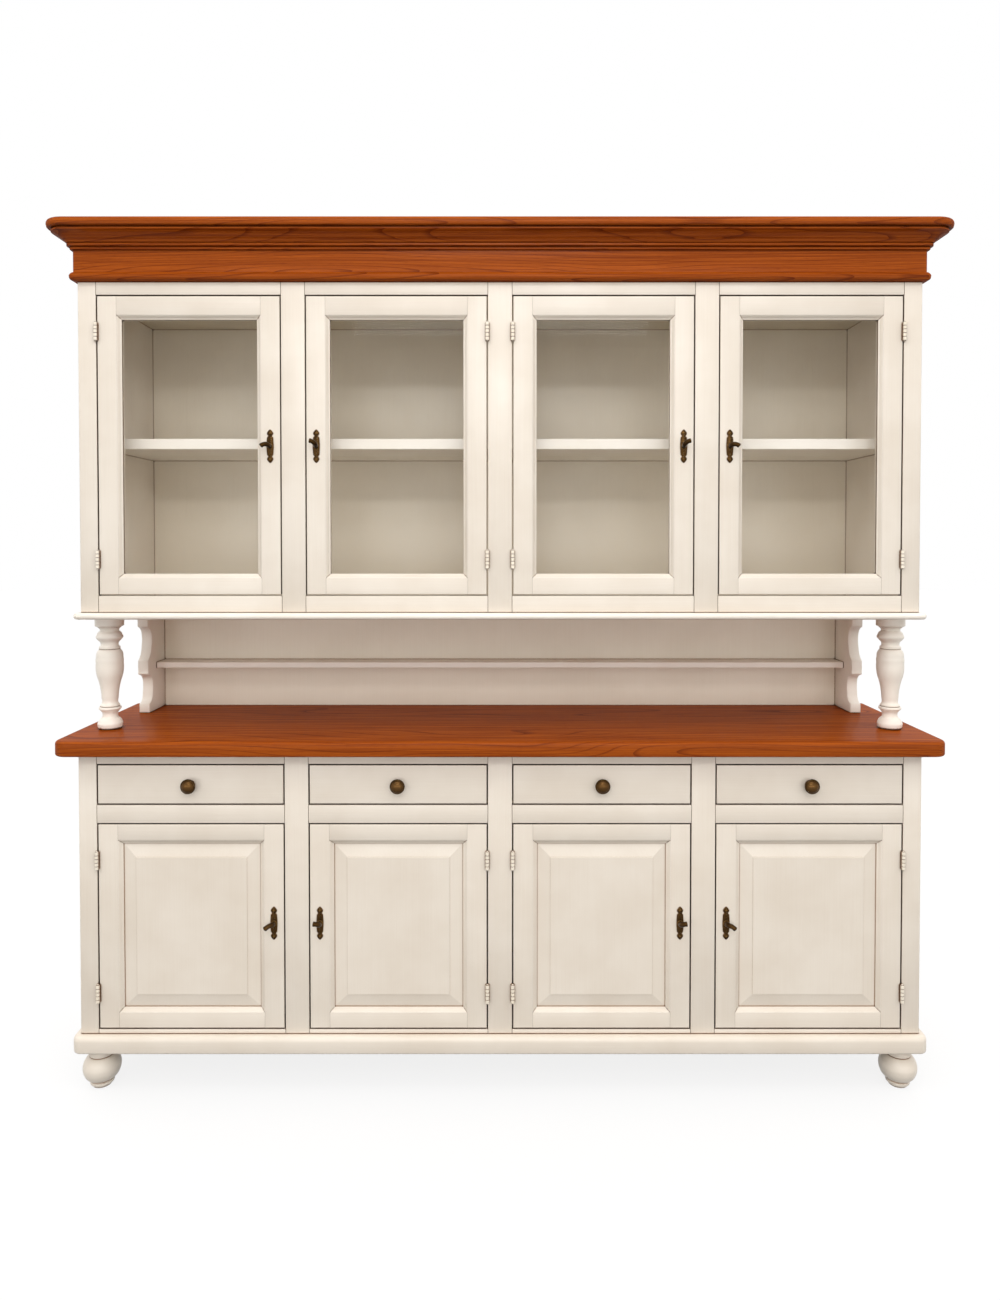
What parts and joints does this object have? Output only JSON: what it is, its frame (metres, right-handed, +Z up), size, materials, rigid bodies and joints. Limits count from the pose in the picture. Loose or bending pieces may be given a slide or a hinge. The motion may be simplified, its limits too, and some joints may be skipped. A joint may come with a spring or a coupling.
{
  "type": "dresser with hutch",
  "caption": "Painted dresser with glazed hutch, open niche on turned columns and scrolled brackets, drawers over panelled doors, and a moulded cornice and countertop in stained wood.",
  "frame": {"origin": "on the floor, under the middle of the piece's bounding box", "axes": "+X to the right as seen from the front, +Y to the back, +Z up; the doors and drawers face -Y"},
  "size_m": [2.148, 0.488, 2.091],
  "materials": {
    "cream_paint": "satin brushed paint with brown glaze in the corners",
    "stained_cherry": "stained and varnished, satin",
    "inner_wood": "bare sanded wood",
    "aged_bronze": "antiqued cast bronze, dark with rubbed edges",
    "clear_glass": "clear float glass"
  },
  "bodies": {
    "root": {"countertop": "stained_cherry", "base_plinth": "cream_paint", "base_side_left": "cream_paint", "base_side_right": "cream_paint", "base_partition_left": "inner_wood", "base_partition_center": "inner_wood", "base_partition_right": "inner_wood", "base_back_panel": "inner_wood", "base_face_frame": "cream_paint", "foot_front_left": "cream_paint", "foot_front_right": "cream_paint", "foot_rear_left": "cream_paint", "foot_rear_right": "cream_paint", "column_left": "cream_paint", "column_right": "cream_paint", "bracket_left": "cream_paint", "bracket_right": "cream_paint", "niche_shelf": "cream_paint", "hutch_side_left": "cream_paint", "hutch_side_right": "cream_paint", "hutch_bottom_board": "cream_paint", "hutch_top_board": "cream_paint", "hutch_back_panel": "cream_paint", "hutch_partition": "cream_paint", "hutch_shelf_left": "cream_paint", "hutch_shelf_right": "cream_paint", "hutch_face_frame": "cream_paint", "cornice": "stained_cherry"},
    "base_door_1": {"base_door_1_frame": "cream_paint", "base_door_1_panel": "cream_paint"},
    "base_lever_1": {"base_door_1_lever": "aged_bronze"},
    "base_door_2": {"base_door_2_frame": "cream_paint", "base_door_2_panel": "cream_paint"},
    "base_lever_2": {"base_door_2_lever": "aged_bronze"},
    "base_door_3": {"base_door_3_frame": "cream_paint", "base_door_3_panel": "cream_paint"},
    "base_lever_3": {"base_door_3_lever": "aged_bronze"},
    "base_door_4": {"base_door_4_frame": "cream_paint", "base_door_4_panel": "cream_paint"},
    "base_lever_4": {"base_door_4_lever": "aged_bronze"},
    "hutch_door_1": {"hutch_door_1_frame": "cream_paint", "hutch_door_1_pane": "clear_glass"},
    "hutch_lever_1": {"hutch_door_1_lever": "aged_bronze"},
    "hutch_door_2": {"hutch_door_2_frame": "cream_paint", "hutch_door_2_pane": "clear_glass"},
    "hutch_lever_2": {"hutch_door_2_lever": "aged_bronze"},
    "hutch_door_3": {"hutch_door_3_frame": "cream_paint", "hutch_door_3_pane": "clear_glass"},
    "hutch_lever_3": {"hutch_door_3_lever": "aged_bronze"},
    "hutch_door_4": {"hutch_door_4_frame": "cream_paint", "hutch_door_4_pane": "clear_glass"},
    "hutch_lever_4": {"hutch_door_4_lever": "aged_bronze"},
    "drawer_1": {"drawer_1_box": "cream_paint", "drawer_1_knob": "aged_bronze"},
    "drawer_2": {"drawer_2_box": "cream_paint", "drawer_2_knob": "aged_bronze"},
    "drawer_3": {"drawer_3_box": "cream_paint", "drawer_3_knob": "aged_bronze"},
    "drawer_4": {"drawer_4_box": "cream_paint", "drawer_4_knob": "aged_bronze"}
  },
  "joints": [
    {"name": "base_door_1_hinge", "type": "hinge", "parent": "root", "child": "base_door_1", "pos_m": [-0.9675, -0.208, 0.403], "axis": [0, 0, -1], "range_deg": [0, 110]},
    {"name": "base_door_1_lever_turn", "type": "hinge", "parent": "base_door_1", "child": "base_lever_1", "pos_m": [-0.5445, -0.2025, 0.412], "axis": [0, -1, 0], "range_deg": [0, 90]},
    {"name": "base_door_2_hinge", "type": "hinge", "parent": "root", "child": "base_door_2", "pos_m": [-0.0305, -0.208, 0.403], "axis": [0, 0, 1], "range_deg": [0, 85]},
    {"name": "base_door_2_lever_turn", "type": "hinge", "parent": "base_door_2", "child": "base_lever_2", "pos_m": [-0.4335, -0.2025, 0.412], "axis": [0, 1, 0], "range_deg": [0, 90]},
    {"name": "base_door_3_hinge", "type": "hinge", "parent": "root", "child": "base_door_3", "pos_m": [0.0305, -0.208, 0.403], "axis": [0, 0, -1], "range_deg": [0, 85]},
    {"name": "base_door_3_lever_turn", "type": "hinge", "parent": "base_door_3", "child": "base_lever_3", "pos_m": [0.4335, -0.2025, 0.412], "axis": [0, -1, 0], "range_deg": [0, 90]},
    {"name": "base_door_4_hinge", "type": "hinge", "parent": "root", "child": "base_door_4", "pos_m": [0.9675, -0.208, 0.403], "axis": [0, 0, 1], "range_deg": [0, 110]},
    {"name": "base_door_4_lever_turn", "type": "hinge", "parent": "base_door_4", "child": "base_lever_4", "pos_m": [0.5445, -0.2025, 0.412], "axis": [0, 1, 0], "range_deg": [0, 90]},
    {"name": "hutch_door_1_hinge", "type": "hinge", "parent": "root", "child": "hutch_door_1", "pos_m": [-0.9675, -0.1885, 1.45], "axis": [0, 0, -1], "range_deg": [0, 110]},
    {"name": "hutch_door_1_lever_turn", "type": "hinge", "parent": "hutch_door_1", "child": "hutch_lever_1", "pos_m": [-0.5525, -0.183, 1.56], "axis": [0, -1, 0], "range_deg": [0, 90]},
    {"name": "hutch_door_2_hinge", "type": "hinge", "parent": "root", "child": "hutch_door_2", "pos_m": [-0.0305, -0.1885, 1.45], "axis": [0, 0, 1], "range_deg": [0, 85]},
    {"name": "hutch_door_2_lever_turn", "type": "hinge", "parent": "hutch_door_2", "child": "hutch_lever_2", "pos_m": [-0.4415, -0.183, 1.56], "axis": [0, 1, 0], "range_deg": [0, 90]},
    {"name": "hutch_door_3_hinge", "type": "hinge", "parent": "root", "child": "hutch_door_3", "pos_m": [0.0305, -0.1885, 1.45], "axis": [0, 0, -1], "range_deg": [0, 85]},
    {"name": "hutch_door_3_lever_turn", "type": "hinge", "parent": "hutch_door_3", "child": "hutch_lever_3", "pos_m": [0.4415, -0.183, 1.56], "axis": [0, -1, 0], "range_deg": [0, 90]},
    {"name": "hutch_door_4_hinge", "type": "hinge", "parent": "root", "child": "hutch_door_4", "pos_m": [0.9675, -0.1885, 1.45], "axis": [0, 0, 1], "range_deg": [0, 110]},
    {"name": "hutch_door_4_lever_turn", "type": "hinge", "parent": "hutch_door_4", "child": "hutch_lever_4", "pos_m": [0.5525, -0.183, 1.56], "axis": [0, 1, 0], "range_deg": [0, 90]},
    {"name": "drawer_1_slide", "type": "slide", "parent": "root", "child": "drawer_1", "axis": [0, -1, 0], "range_m": [0, 0.3]},
    {"name": "drawer_2_slide", "type": "slide", "parent": "root", "child": "drawer_2", "axis": [0, -1, 0], "range_m": [0, 0.3]},
    {"name": "drawer_3_slide", "type": "slide", "parent": "root", "child": "drawer_3", "axis": [0, -1, 0], "range_m": [0, 0.3]},
    {"name": "drawer_4_slide", "type": "slide", "parent": "root", "child": "drawer_4", "axis": [0, -1, 0], "range_m": [0, 0.3]}
  ]
}
